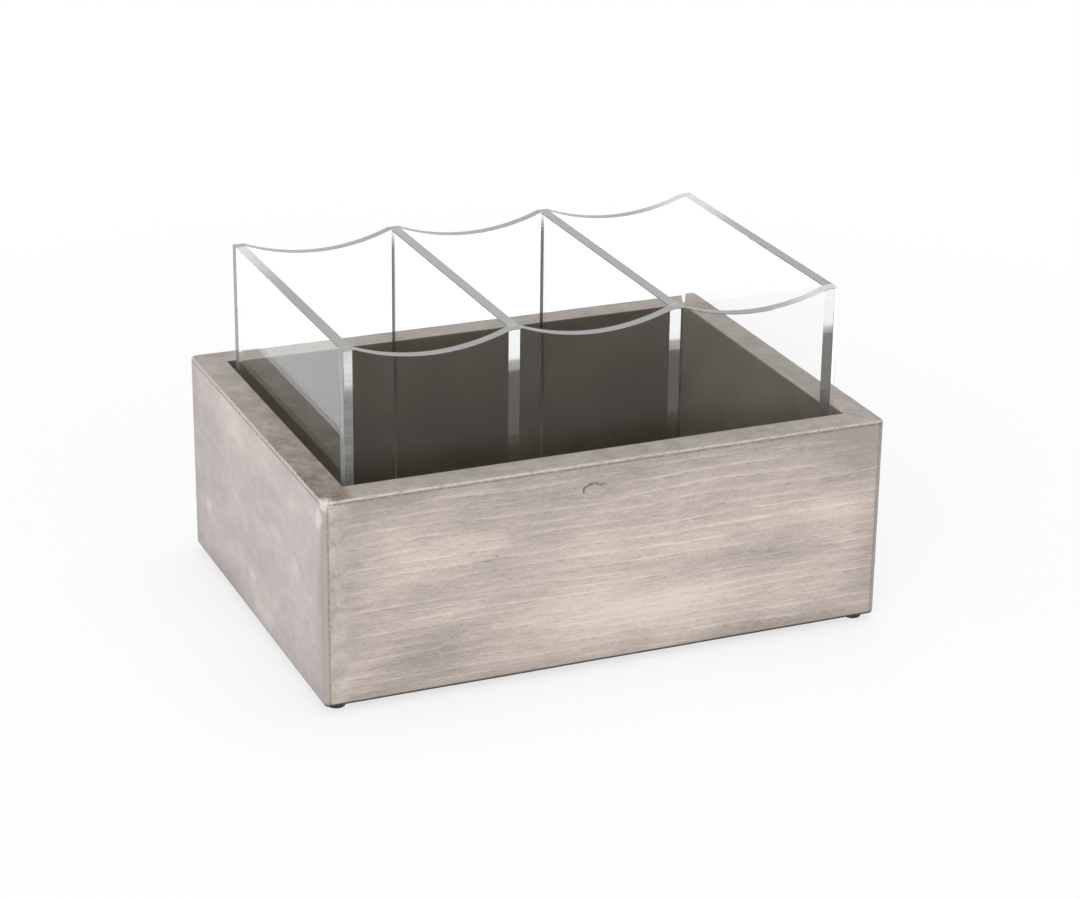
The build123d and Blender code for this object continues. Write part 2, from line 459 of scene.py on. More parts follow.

# %% [markdown]
# Painted shade lies on the rounded upright corners, with a dark joint line beside them on the long boards,
# and a thin line of painted shade runs under the rim's rounding. Along the foot, a dark line is a painted
# shadow of the gap under the box. The rim's own edge is rubbed pale and carries a painted highlight. These
# lines are broken, so flecks eat into them. The knot is ringed by a crack on its left and over its top.
# That is a line too, about the knot's outline, and noise makes it jagged.

# %% Lines
def thin_line(tree, gap, middle, width, core, amount, kept):
    """Share of a thin line: full up to core from its middle, gone at width, and kept in part."""
    off_middle = add(tree, "Math", {0: gap, 1: middle}, operation="SUBTRACT")
    off = add(tree, "Math", {0: off_middle}, operation="ABSOLUTE")
    inputs = {"Value": off, "From Min": width, "From Max": core, "To Max": amount}
    line = add(tree, "MapRange", inputs)
    return add(tree, "Math", {0: line, 1: kept}, operation="MULTIPLY")


def edge_coats_and_painted_shade(wood, corner_tone):
    """Painted shade on the rounded upright corners beside a dark joint line, then the rim's top, a painted
    shade line under the rim, the rim's rubbed edge with a painted highlight, and a painted shadow along the
    foot.
    """
    tree = wood.tree
    # Painted shade: the rounded upright corners are darker than both faces.
    corner_shade = add(
        tree, "MapRange",
        {"Value": wood.corner_gap, "From Min": 4.4 * mm, "From Max": 1.8 * mm, "To Max": 0.7},
        interpolation_type="SMOOTHSTEP",
    )
    broken = add(tree, "MapRange", {"Value": wood.layer["flecks"], "From Min": 0.36, "From Max": 0.56})
    broken_long = add(tree, "Math", {0: broken, 1: wood.on_long_face}, operation="MULTIPLY")
    corner_line = thin_line(tree, wood.side_gap, 2.7 * mm, 0.7 * mm, 0.21 * mm, 0.75, broken_long)
    # Painted shade: a thin dark line where the face meets the rim's rounding.
    under_rim = thin_line(tree, wood.rim_gap, 2.1 * mm, 0.8 * mm, 0.24 * mm, 0.85, broken)
    # The rim's edge is rubbed pale, and the pale line is also a painted highlight on its rounding.
    worn_rim_highlight = thin_line(tree, wood.rim_gap, 0.85 * mm, 0.6 * mm, 0.18 * mm, 0.8, broken)
    # Painted shadow: a near-black line along the foot stands for the dark gap under the box.
    inputs = {"Value": wood.foot_gap, "From Min": 2.2 * mm, "From Max": 1.5 * mm, "To Max": 0.97}
    foot = add(tree, "MapRange", inputs)
    return (
        (corner_shade, linear(corner_tone)),
        (corner_line, linear("#7C7370")),
        rim_bare_wood_and_shade(wood),
        (under_rim, linear("#7A7069")),
        (worn_rim_highlight, linear("#D6CDC5")),
        (foot, linear("#26221F")),
    )


# Of these, the corner band and the line under the rim are painted shade, the foot line is a painted shadow,
# and the rim's pale edge is partly a painted highlight.
print("stain and dirt lie on the corners, under the rim and along the foot")

# %% The crack round the knot
crack_gap = 5 * mm              # how far outside the knot the crack runs, before noise pulls it in
crack_side = (-0.5, 0.0, 0.87)  # up and to the left


def knot_crack(wood):
    """Where the crack round the knot is."""
    tree = wood.tree
    jagged = wood.knot_distance
    for title, depth in (("smudges", 7 * mm), ("speckle", 3 * mm)):
        inputs = {0: wood.layer[title], 1: depth, 2: jagged}
        jagged = add(tree, "Math", inputs, operation="MULTIPLY_ADD")
    aside = add(tree, "VectorMath", {0: wood.from_knot, 1: crack_side}, "Value", operation="DOT_PRODUCT")
    kept = add(tree, "MapRange", {"Value": aside, "From Max": 0.5 * knot_radius})
    return thin_line(tree, jagged, knot_radius + crack_gap, 0.6 * mm, 0.15 * mm, 0.95, kept)


print("the crack runs on the side of", crack_side)

# %% [markdown]
# Two places have lost their wax. Frayed pale fibres show at the corner that is handled most, and
# beside it a soft patch is rubbed through.

# %% Worn places
worn_corner = (-half_width, -half_depth, rim_height)
worn_reach = 13 * mm
rubbed_place = (-half_width, -97.0 * mm, 104.0 * mm)
rubbed_reach = (12.0 * mm, 6.0 * mm, 8.0 * mm)


def worn_coats(wood):
    """The worn corner and the rubbed patch."""
    tree = wood.tree
    off_corner = add(tree, "VectorMath", {0: wood.place, 1: worn_corner}, "Value", operation="DISTANCE")
    near_corner = add(tree, "MapRange", {"Value": off_corner, "From Min": worn_reach, "From Max": 0.0})
    frayed = add(tree, "Math", {0: near_corner, 1: wood.layer["speckle"]}, operation="ADD")
    worn = add(tree, "MapRange", {"Value": frayed, "From Min": 1.0, "From Max": 1.25, "To Max": 0.75})
    off_patch = spot_distance(wood, rubbed_place, rubbed_reach)
    rubbed = add(
        tree, "MapRange", {"Value": off_patch, "From Min": 1.0, "From Max": 0.5, "To Max": 0.7},
        interpolation_type="SMOOTHSTEP",
    )
    return (worn, linear("#E2DBD5")), (rubbed, linear("#E0D9D4"))


print("worn within", worn_reach / mm, "mm of the front left corner")

# %% [markdown]
# All coats go over the wax in the order in which they came onto the wood, and the painted shade, shadow and
# highlight along the edges go on with them. The same layers raise the surface: a wax line stands up, a pit
# is sunk. The finish is matt, and a little duller in its clouds.

# %% Limewashed pine
wash_relief = 0.12 * mm


def washed_pine(name, turn, heart, tones, amounts, spots):
    """Material of the washed outside. turn and heart lay the grain, amounts say how far each layer
    moves the tone, and spots are rubbed places."""
    material, tree, surface, place = new_material(name)
    wood = SimpleNamespace(tree=tree, place=place)
    grain_space(wood, turn)
    noise_layers(wood)
    ring_lines(wood, heart)
    edge_gaps(wood)
    paint = wax_paint(wood, wax_tone(wood, amounts, spots), tones)
    filler_share, filler = filler_coat(wood)
    pit_share = pits(wood, filler_share)
    for share, colour in (
        (filler_share, filler),
        (pit_share, linear("#786E67")),
        (knot_crack(wood), linear("#6C625C")),
        *edge_coats_and_painted_shade(wood, tones["corner"]),
        *worn_coats(wood),
    ):
        paint = add(
            tree, "Mix", {"Factor": share, MIX_A: paint, MIX_B: colour}, MIX_RESULT, data_type="RGBA"
        )

    fuzz = add(tree, "Math", {0: wood.layer["fibres"], 1: wood.layer["flecks"]}, operation="ADD")
    raised = add(tree, "Math", {0: wood.pale_line, 1: fuzz}, operation="ADD")
    inputs = {0: filler_share, 1: wood.layer["speckle"], 2: raised}
    gritty = add(tree, "Math", inputs, operation="MULTIPLY_ADD")
    pitted = add(tree, "Math", {0: gritty, 1: pit_share}, operation="SUBTRACT")
    bump = add(tree, "Bump", {"Height": pitted, "Distance": wash_relief, "Strength": amounts["relief"]})
    matt = add(tree, "MapRange", {"Value": wood.layer["clouds"], "To Min": 0.74, "To Max": 0.56})
    feed(tree, surface, {"Base Color": paint, "Normal": bump, "Roughness": matt})
    return material


print("a layer of the wash stands up to", wash_relief / mm, "mm proud")

# %% [markdown]
# The long boards show strong lines, and the side boards are cloudier with hardly any. Each has its
# own colours, amounts and spots, and both come from the same steps.

# %% The two cuts of board
spot_depth = 30 * mm            # how far a spot reaches into the board

front_tones = {"bare": "#A0968F", "thin": "#BFB3AB", "full": "#DDCFC5", "corner": "#A1978F"}
front_amounts = {
    "start": 0.5, "clouds": 1.25, "streaks": 0.56, "fibres": 0.44, "flecks": 0.62, "speckle": 0.3,
    "smudges": 0.2, "pale_line": 0.3, "dark_line": 0.3, "under_rim": -0.44, "relief": 0.7,
}
front_spots = [
    ((x * mm, -half_depth, z * mm), (wide * mm, spot_depth, high * mm), amount)
    for x, z, wide, high, amount in (
        (-104, 20, 46, 22, -0.32), (-98, 53, 44, 11, -0.26), (-150, 76, 44, 50, -0.26),
        (-12, 34, 60, 26, 0.34), (40, 26, 62, 18, 0.3), (40, 66, 110, 18, 0.2),
        (126, 70, 32, 16, 0.34), (-84, 76, 60, 16, 0.3), (98, 46, 40, 12, -0.24),
        (80, 72, 34, 16, 0.22), (150, 36, 24, 34, -0.26), (-147, 13, 11, 12, 0.6),
    )
]
side_tones = {"bare": "#ADA39F", "thin": "#C1B8B4", "full": "#D6CDC5", "corner": "#A29A98"}
side_amounts = {
    "start": 0.53, "clouds": 1.25, "streaks": 0.16, "fibres": 0.12, "flecks": 0.4, "speckle": 0.5,
    "smudges": 0.75, "pale_line": 0.07, "dark_line": 0.06, "under_rim": 0.06, "relief": 0.4,
}
side_spots = [
    ((-half_width, y * mm, z * mm), (spot_depth, wide * mm, high * mm), amount)
    for y, z, wide, high, amount in (
        (28, 104, 34, 24, 0.32), (88, 90, 44, 40, -0.22), (44, 8, 54, 26, -0.34),
        (-110, 60, 13, 80, -0.5), (79, 38, 9, 7, 0.5), (3, 23, 9, 5, 0.4),
        (-66, 56, 10, 9, 0.3), (-30, 60, 26, 12, 0.2),
    )
]
across = -math.pi / 2           # turns the grain from x to y
front_wash = washed_pine(
    "limewashed_pine_long", 0.0, (-0.05, 0.15), front_tones, front_amounts, front_spots
)
side_wash = washed_pine("limewashed_pine_side", across, (0.05, 0.20), side_tones, side_amounts, side_spots)
print("limewash:", front_wash.name, side_wash.name, "spots:", len(front_spots), len(side_spots))

# %% [markdown]
# ## Stained inside
#
# Inside, the box has only a dark olive-brown stain. It is brushed on thin, so the grain shows a little, and
# dust stays on it as tiny pale specks. The side boards' inside faces get a lighter copy of it, which is
# painted light for the brighter light that they catch.

# %% Dark stain
stain_streak = 3 * mm
stain_cloud = 30 * mm
dust_spacing = 6 * mm
stain_relief = 0.1 * mm


def stained_pine(name, turn, tones):
    """Material of the dark inside. tones are the stain in hard wood, in soft wood and pooled."""
    material, tree, surface, place = new_material(name)
    hard, soft, pooled = tones
    grain = add(tree, "Mapping", {"Vector": place, "Rotation": (0.0, 0.0, turn)})
    streaks_at = add(tree, "Mapping", {"Vector": grain, "Scale": (0.06, 1.0, 1.0)})
    inputs = {"Vector": streaks_at, "Scale": 1 / stain_streak, "Detail": 4.0, "Roughness": 0.6}
    streaks = add(tree, "TexNoise", inputs)
    clouds = add(tree, "TexNoise", {"Vector": grain, "Scale": 1 / stain_cloud, "Detail": 3.0})
    cells = add(tree, "TexVoronoi", {"Vector": place, "Scale": 1 / dust_spacing})
    stain = linear(hard)
    for value, low, high, amount, colour in (
        (streaks, 0.0, 1.0, 1.0, soft),
        (clouds, 0.4, 0.7, 0.6, pooled),
        (cells, 0.09, 0.05, 0.6, "#B9B5A6"),
    ):
        share = add(
            tree, "MapRange", {"Value": value, "From Min": low, "From Max": high, "To Max": amount}
        )
        stain = add(
            tree, "Mix", {"Factor": share, MIX_A: stain, MIX_B: linear(colour)}, MIX_RESULT,
            data_type="RGBA",
        )
    bump = add(tree, "Bump", {"Height": streaks, "Distance": stain_relief, "Strength": 0.7})
    sheen = add(tree, "MapRange", {"Value": clouds, "To Min": 0.45, "To Max": 0.62})
    feed(tree, surface, {"Base Color": stain, "Normal": bump, "Roughness": sheen})
    return material


long_stain = stained_pine("umber_stain_long", 0.0, ("#5D574D", "#6C665B", "#524D43"))
# A lighter copy of the same stain, painted light for the brighter inside faces of the side boards.
side_stain_painted_light = stained_pine("umber_stain_side_painted_light", across, ("#837B6E", "#938B7E", "#777063"))
print("stain:", long_stain.name, side_stain_painted_light.name)

# %% [markdown]
# ## The boards
#
# Each board is a slab whose middle stands further in, because its ends and its foot are rebated
# for its neighbours. That could be cut out of a block, but pushing the middle out of a thin slab
# gives clean faces: cut the slab's inner face where the rebates end, and extrude what lies between.
# Edges are then rounded one group at a time, corner posts first, so that the rim's rounding runs
# round the corner. Last, a grid of cuts lets noise wear the edges a little, always inwards.

# %% Mesh helpers
tiny = 0.01 * mm


def slab(low, high):
    """A block between two corners."""
    bm = bmesh.new()
    middle = (Vector(low) + Vector(high)) / 2
    size = Vector(high) - Vector(low)
    matrix = Matrix.Translation(middle) @ Matrix.Diagonal((*size, 1.0))
    bmesh.ops.create_cube(bm, size=1.0, matrix=matrix)
    return bm


def cut(bm, point, normal):
    """Cuts every face that a plane meets."""
    everything = [*bm.verts, *bm.edges, *bm.faces]
    bmesh.ops.bisect_plane(bm, geom=everything, dist=tiny / 10, plane_co=point, plane_no=normal)


def push_out(bm, push):
    """Extrudes the largest face that looks the way of push."""
    bm.normal_update()
    way = Vector(push).normalized()
    facing = [f for f in bm.faces if f.normal.dot(way) > 0.9]
    middle = max(facing, key=lambda f: f.calc_area())
    raised = bmesh.ops.extrude_face_region(bm, geom=[middle, *middle.edges])
    moved = [g for g in raised["geom"] if isinstance(g, bmesh.types.BMVert)]
    bmesh.ops.translate(bm, verts=moved, vec=push)


print("places closer than", tiny / mm, "mm count as one")

# %% Rounding and finishing
def round_edges(bm, edges, radius, segments):
    """Rounds edges with a plain arc."""
    bmesh.ops.bevel(
        bm, geom=edges, offset=radius, offset_type="OFFSET", segments=segments, profile=0.5,
        affect="EDGES", clamp_overlap=True, material=-1,
    )


def steps(low, high, pitch):
    """Even steps between two ends, no further apart than pitch."""
    count = math.ceil((high - low) / pitch)
    return [low + (high - low) * i / count for i in range(1, count)]


def finish(bm, name, body, materials, material_slot, smooth_up_to, *nodes):
    """Makes the mesh a piece that rides on a body and stands for CAD nodes. Steeper edges than
    smooth_up_to stay sharp."""
    bmesh.ops.remove_doubles(bm, verts=bm.verts, dist=tiny / 10)
    closed = all(e.is_manifold for e in bm.edges)
    mesh = bpy.data.meshes.new(name)
    bm.to_mesh(mesh)
    bm.free()
    mesh.shade_smooth()
    mesh.set_sharp_from_angle(angle=math.radians(smooth_up_to))
    for material in materials:
        mesh.materials.append(material)
    piece = bpy.data.objects.new(name, mesh)
    bpy.context.scene.collection.objects.link(piece)
    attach(piece, body)
    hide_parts(*nodes)
    print(name, len(mesh.vertices), "vertices, closed:", closed)


print("even steps from 0 to 12, at most 5 apart:", steps(0, 12, 5))

# %% Wear
wear_reach = 2.2 * mm           # how far from an edge the wood is dented
dent_depth = 0.28 * mm
wave_depth = 0.16 * mm
deepest_wear = 0.45 * mm
WASH, STAINED, LONG_WASH = 0, 1, 2      # finishes of a board, whose ends have the long wash


def depth_in_plan(point):
    """How far a point lies inside the box's rounded outline, seen from above."""
    over_x = abs(point.x) - (half_width - corner_radius)
    over_y = abs(point.y) - (half_depth - corner_radius)
    outside = math.hypot(max(over_x, 0.0), max(over_y, 0.0))
    return corner_radius - outside - min(max(over_x, over_y), 0.0)


def shows(face):
    """Whether a face is on the outside of the box, and not inside a joint."""
    middle = face.calc_center_median()
    in_joint_x = abs(face.normal.x) > 0.9 and abs(abs(middle.x) - lip_x) < tiny
    in_joint_y = abs(face.normal.y) > 0.9 and abs(abs(middle.y) - inner_y) < tiny
    return face.material_index != STAINED and not in_joint_x and not in_joint_y


def wear_down(bm):
    """Dents the outer edges straight inwards, so that two boards stay level at their joint."""
    bm.normal_update()
    outward = {}
    for vertex in bm.verts:
        outward[vertex] = sum((f.normal for f in vertex.link_faces if shows(f)), Vector())
    for vertex in bm.verts:
        place = vertex.co
        plan = depth_in_plan(place)
        from_rim = max(plan, rim_height - place.z)
        from_foot = max(plan, place.z - wood_bottom)
        from_corner = max(half_width - abs(place.x), half_depth - abs(place.y))
        edge = min(from_rim, from_foot, from_corner)
        closeness = max(0.0, 1.0 - edge / wear_reach)
        coarse = 0.5 + 0.5 * noise.noise(place / (14 * mm))
        fine = 0.5 + 0.5 * noise.noise(place / (4 * mm))
        wave = wave_depth * (0.5 + 0.5 * noise.noise(place / (45 * mm)))
        dent = dent_depth * closeness * coarse * fine * 2
        if outward[vertex].length > 0.1:
            vertex.co -= outward[vertex].normalized() * min(wave + dent, deepest_wear)


print("wear reaches", wear_reach / mm, "mm in from an edge")

# %% Finding a board's edges
def on_outline(edge):
    """Whether an edge lies on the box's rounded outline."""
    return all(depth_in_plan(v.co) < tiny for v in edge.verts)


def on_opening(edge):
    """Whether an edge lies on the box's opening, where a hand can reach it."""
    return all(
        abs(v.co.x) < inner_x + tiny and abs(v.co.y) < inner_y + tiny
        and max(abs(v.co.x) - inner_x, abs(v.co.y) - inner_y) > -tiny
        for v in edge.verts
    )


def level_at(edge, height):
    """Whether an edge lies at a height."""
    return all(abs(v.co.z - height) < tiny for v in edge.verts)


def upright_at(edge, x, y):
    """Whether an edge stands upright at a place, on either side."""
    return all(abs(abs(v.co.x) - x) < tiny and abs(abs(v.co.y) - y) < tiny for v in edge.verts)


print("the outline is rounded by", corner_radius / mm, "mm at the corners")

# %% One board
grid = 2.0 * mm


def board(name, low, high, rebates, push, outer_material, inner_material):
    """One washed board: slab, raised middle, rounded edges, grid and wear."""
    bm = slab(low, high)
    for point, normal in rebates:
        cut(bm, point, normal)
    push_out(bm, push)
    for x in (-inner_x, inner_x):
        cut(bm, (x, 0, 0), (1, 0, 0))
    round_edges(bm, [e for e in bm.edges if upright_at(e, half_width, half_depth)], corner_radius, 6)
    for height, found, radius, segments in (
        (rim_height, on_outline, rim_radius, 4),
        (wood_bottom, on_outline, underside_radius, 4),
        (rim_height, on_opening, inner_rim_radius, 2),
    ):
        round_edges(bm, [e for e in bm.edges if level_at(e, height) and found(e)], radius, segments)
    bm.normal_update()
    inward = Vector(push).normalized()
    for face in bm.faces:
        middle = face.calc_center_median()
        hidden = middle.z < rebate_top + tiny and depth_in_plan(middle) > lap - tiny
        if face.normal.dot(inward) > 0.7 or hidden:
            face.material_index = STAINED
        else:
            face.material_index = LONG_WASH if abs(face.normal.y) > 0.7 else WASH
    for x in steps(low[0], high[0], grid):
        cut(bm, (x, 0, 0), (1, 0, 0))
    for y in steps(low[1], high[1], grid):
        cut(bm, (0, y, 0), (0, 1, 0))
    for z in steps(wood_bottom, rim_height, grid):
        cut(bm, (0, 0, z), (0, 0, 1))
    wear_down(bm)
    materials = [outer_material, inner_material, front_wash]
    finish(bm, name + "_washed", "box", materials, "washed_wood", 32, name)


print("a board is cut into a grid of", grid / mm, "mm")

# %% The four boards
foot_of_rebate = ((0, 0, rebate_top), (0, 0, 1))
end_rebates = [((0, y, 0), (0, 1, 0)) for y in (-inner_y, inner_y)]
for side, name in ((-1, "left_board"), (1, "right_board")):
    xs = sorted((side * half_width, side * lip_x))
    board(
        name, (xs[0], -half_depth, wood_bottom), (xs[1], half_depth, rim_height),
        [foot_of_rebate, *end_rebates], (-side * lap, 0, 0), side_wash, side_stain_painted_light,
    )
for end, name in ((-1, "front_board"), (1, "back_board")):
    ys = sorted((end * half_depth, end * (inner_y + lap)))
    board(
        name, (-lip_x, ys[0], wood_bottom), (lip_x, ys[1], rim_height),
        [foot_of_rebate], (0, -end * lap, 0), front_wash, long_stain,
    )

# %% [markdown]
# ## The base panel, feet and brads
#
# The base panel, the rubber feet and the brads have the right shape in the frame already, so they
# stay and only get a finish. The panel is thin birch plywood, stained like the inside on top and
# left raw below. A foot is a soft black bumper, and a brad is bright steel wire.

# %% Plywood
plywood, tree, surface, place = new_material("birch_plywood_stained_on_top")
streaks_at = add(tree, "Mapping", {"Vector": place, "Scale": (0.05, 1.0, 1.0)})
streaks = add(tree, "TexNoise", {"Vector": streaks_at, "Scale": 1 / (2.4 * mm), "Detail": 4.0})
bare, stain = (
    add(
        tree, "Mix", {"Factor": streaks, MIX_A: linear(dark), MIX_B: linear(light)}, MIX_RESULT,
        data_type="RGBA",
    )
    for dark, light in (("#B79E78", "#D6C19B"), ("#57523F", "#68624F"))
)
height = add(tree, "SeparateXYZ", {"Vector": place}, "Z")
on_top = add(tree, "Math", {0: height, 1: rebate_top - 0.2 * mm}, operation="GREATER_THAN")
stained = add(tree, "Mix", {"Factor": on_top, MIX_A: bare, MIX_B: stain}, MIX_RESULT, data_type="RGBA")
bump = add(tree, "Bump", {"Height": streaks, "Distance": 0.06 * mm, "Strength": 0.6})
feed(tree, surface, {"Base Color": stained, "Normal": bump, "Roughness": 0.6})

print("base:", plywood.name)

# %% Rubber and steel
rubber, tree, surface, place = new_material("black_rubber_moulded")
grit = add(tree, "TexNoise", {"Vector": place, "Scale": 1 / (0.5 * mm), "Detail": 3.0})
black = add(
    tree, "Mix", {"Factor": grit, MIX_A: linear("#1E1D1C"), MIX_B: linear("#3A3836")}, MIX_RESULT,
    data_type="RGBA",
)
bump = add(tree, "Bump", {"Height": grit, "Distance": 0.05 * mm, "Strength": 0.7})
feed(tree, surface, {"Base Color": black, "Normal": bump, "Roughness": 0.72})

steel, tree, surface, place = new_material("bright_steel_wire")
drawn = add(tree, "TexNoise", {"Vector": place, "Scale": 1 / (0.3 * mm), "Detail": 2.0})
grey = add(
    tree, "Mix", {"Factor": drawn, MIX_A: linear("#8F8F8E"), MIX_B: linear("#B9B8B6")}, MIX_RESULT,
    data_type="RGBA",
)
gloss = add(tree, "MapRange", {"Value": drawn, "To Min": 0.25, "To Max": 0.45})
feed(tree, surface, {"Base Color": grey, "Roughness": gloss, "Metallic": 1.0})

print("feet and brads:", rubber.name, steel.name)

# %% Base, feet and brads
def paint(node, material):
    """Gives a CAD node's object one material."""
    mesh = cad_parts[node].data
    mesh.materials.clear()
    mesh.materials.append(material)


paint("base_panel", plywood)
for brads in ("corner_brads", "base_brads"):
    paint(brads, steel)
for foot in ("foot_front_left", "foot_front_right", "foot_back_left", "foot_back_right"):
    paint(foot, rubber)
print("painted the base panel, four feet and the brads")

# %% [markdown]
# ## Clear acrylic
#
# The insert is cut from clear acrylic sheet, 6 mm thick, with an index of 1.49. Its broad faces are
# as clear as glass, but its edges are not. A top edge is satin and shows an even pale grey. The ends
# at the front and left are sawn, which leaves fine level marks. The far ends are polished, so that
# hardly anything shows there, and a divider's ends are glued against a panel. Every end works as a
# light pipe.
#
# Glass that bends light throws slow, noisy caustics, so a lamp's light, and light that has bounced
# off wood, goes straight through a sheet instead: Light Path tells those rays apart.

# %% Sheet faces
acrylic_index = 1.49


def let_light_through(tree, surface, tint):
    """Lets shadow and diffuse rays pass the sheet straight, a little tinted."""
    path = add(tree, "LightPath", {}).node
    straight = add(
        tree, "Math", {0: path.outputs["Is Shadow Ray"], 1: path.outputs["Is Diffuse Ray"]},
        operation="MAXIMUM",
    )
    open_way = add(tree, "BsdfTransparent", {"Color": linear(tint)})
    both = add(tree, "MixShader", {0: straight, 1: surface.outputs[0], 2: open_way})
    tree.links.new(both, tree.nodes["Material Output"].inputs["Surface"])


def clear_sheet(name, mirror):
    """Material of a sheet's broad faces. mirror says how much of the white room they show, and is painted
    reflection: grey dims the reflections, white keeps them whole.
    """
    material, tree, surface, place = new_material(name)
    ripple = add(tree, "TexNoise", {"Vector": place, "Scale": 1 / (60 * mm), "Detail": 1.0})
    bump = add(tree, "Bump", {"Height": ripple, "Distance": 0.2 * mm, "Strength": 0.2})
    feed(tree, surface, {
        "Normal": bump, "Base Color": linear("#FFFFFF"), "Specular Tint": linear(mirror),
        "IOR": acrylic_index, "Roughness": 0.0, "Transmission Weight": 1.0,
    })
    let_light_through(tree, surface, "#F9F9F8")
    return material


# Painted reflection: the grey mirror halves what the sheets reflect, and the left wall's white copy shows a
# brighter painted reflection over the dark inside.
clear = clear_sheet("clear_acrylic_sheet", "#808080")
bright = clear_sheet("clear_acrylic_painted_bright_reflection", "#FFFFFF")
print("faces:", clear.name, bright.name)

# %% Top edges and smooth ends
satin, tree, surface, place = new_material("satin_acrylic_edge")
marks = add(tree, "TexNoise", {"Vector": place, "Scale": 1 / (0.8 * mm), "Detail": 2.0})
pale = add(
    tree, "Mix", {"Factor": marks, MIX_A: linear("#CDCDCC"), MIX_B: linear("#DDDDDC")}, MIX_RESULT,
    data_type="RGBA",
)
bump = add(tree, "Bump", {"Height": marks, "Distance": 0.03 * mm, "Strength": 0.5})
feed(tree, surface, {
    "Base Color": pale, "Normal": bump, "IOR": acrylic_index, "Roughness": 0.45,
    "Transmission Weight": 0.58,
})
let_light_through(tree, surface, "#E6E6E6")

glued, tree, surface, place = new_material("glued_acrylic_end")
lines_at = add(tree, "Mapping", {"Vector": place, "Scale": (0.1, 0.1, 1.0)})
lines = add(tree, "TexNoise", {"Vector": lines_at, "Scale": 1 / (1.2 * mm), "Detail": 3.0})
bump = add(tree, "Bump", {"Height": lines, "Distance": 0.02 * mm, "Strength": 0.3})
hazy = add(tree, "MapRange", {"Value": lines, "To Min": 0.05, "To Max": 0.14})
feed(tree, surface, {
    "Normal": bump, "Roughness": hazy, "Base Color": linear("#EEF1EF"), "IOR": acrylic_index,
    "Transmission Weight": 1.0,
})
let_light_through(tree, surface, "#F2F2F2")

polished, tree, surface, place = new_material("polished_acrylic_end")
smears = add(tree, "TexNoise", {"Vector": place, "Scale": 1 / (8 * mm), "Detail": 2.0})
seen = add(tree, "MapRange", {"Value": smears, "To Min": 0.02, "To Max": 0.1})
feed(tree, surface, {"Alpha": seen, "Base Color": linear("#EEF1EF"), "Roughness": 0.05})
print("edges:", satin.name, glued.name, polished.name)

# %% Sawn ends
saw_marks = 1.5 * mm


def sawn_end(name, tones, clearness):
    """Material of a sheet's sawn end, with fine level marks. clearness is how much light gets in."""
    material, tree, surface, place = new_material(name)
    lines_at = add(tree, "Mapping", {"Vector": place, "Scale": (0.1, 0.1, 1.0)})
    lines = add(tree, "TexNoise", {"Vector": lines_at, "Scale": 1 / saw_marks, "Detail": 4.0})
    pale = add(
        tree, "Mix", {"Factor": lines, MIX_A: linear(tones[0]), MIX_B: linear(tones[1])}, MIX_RESULT,
        data_type="RGBA",
    )
    bump = add(tree, "Bump", {"Height": lines, "Distance": 0.04 * mm, "Strength": 0.5})
    hazy = add(tree, "MapRange", {"Value": lines, "To Min": 0.06, "To Max": 0.18})
    feed(tree, surface, {
        "Base Color": pale, "Normal": bump, "Roughness": hazy, "IOR": acrylic_index,
        "Transmission Weight": clearness,
    })
    let_light_through(tree, surface, "#ECEDEC")
    return material


# The three copies are one sawn finish, and their different tones and clearness are painted light and shade:
# the left wall's end spans darker greys, and the right wall's end is lighter and clearer.
sawn_panel = sawn_end("sawn_acrylic_panel_end", ("#A6A8A7", "#DADCDB"), 0.5)
sawn_left = sawn_end("sawn_acrylic_left_wall_end_painted_shade", ("#8E908F", "#E2E3E2"), 0.62)
sawn_right = sawn_end("sawn_acrylic_right_wall_end_painted_light", ("#CDCFCE", "#EAECEB"), 0.88)
print("sawn ends:", sawn_panel.name, sawn_left.name, sawn_right.name)

# %% [markdown]
# ## The insert's sheets
#
# Two scalloped panels close the front and back, and straight plates run between them. A panel is a
# thin slab with upright cuts, whose top points are lowered onto the arcs. Where two sheets touch,
# each stays a hair short, because two glass surfaces in one place would flicker.

# %% Scallops
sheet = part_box("insert_front_panel")[1].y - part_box("insert_front_panel")[0].y
insert_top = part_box("insert_front_panel")[1].z
divider_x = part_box("insert_right_divider")[0].x + sheet / 2
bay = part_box("insert_right_wall")[0].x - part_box("insert_right_divider")[1].x
bay_middles = (-2 * divider_x, 0.0, 2 * divider_x)
scallop_sag = 7.6 * mm
scallop_radius = (bay * bay / 4 + scallop_sag * scallop_sag) / (2 * scallop_sag)


def top_height(x):
    """Height of a scalloped panel's top edge."""
    aside = min(abs(x - middle) for middle in bay_middles)
    if aside >= bay / 2:
        return insert_top
    drop = math.sqrt(scallop_radius ** 2 - aside ** 2) - math.sqrt(scallop_radius ** 2 - bay ** 2 / 4)
    return insert_top - drop


columns_per_bay = 20
columns = sorted(
    middle + bay * (i / columns_per_bay - 0.5)
    for middle in bay_middles for i in range(columns_per_bay + 1)
)
print("scallops of radius", round(scallop_radius / mm), "mm, with", len(columns), "upright cuts")

# %% One sheet
edge_radius = 0.35 * mm
CLEAR, SATIN, NEAR_END, FAR_END = 0, 1, 2, 3


def on_glued_end(edge, low, high, end_axis):
    """Whether an edge lies on an end that is glued against a panel."""
    on_either = (all(abs(v.co.y - end) < tiny for v in edge.verts) for end in (low[1], high[1]))
    return end_axis == 1 and any(on_either)


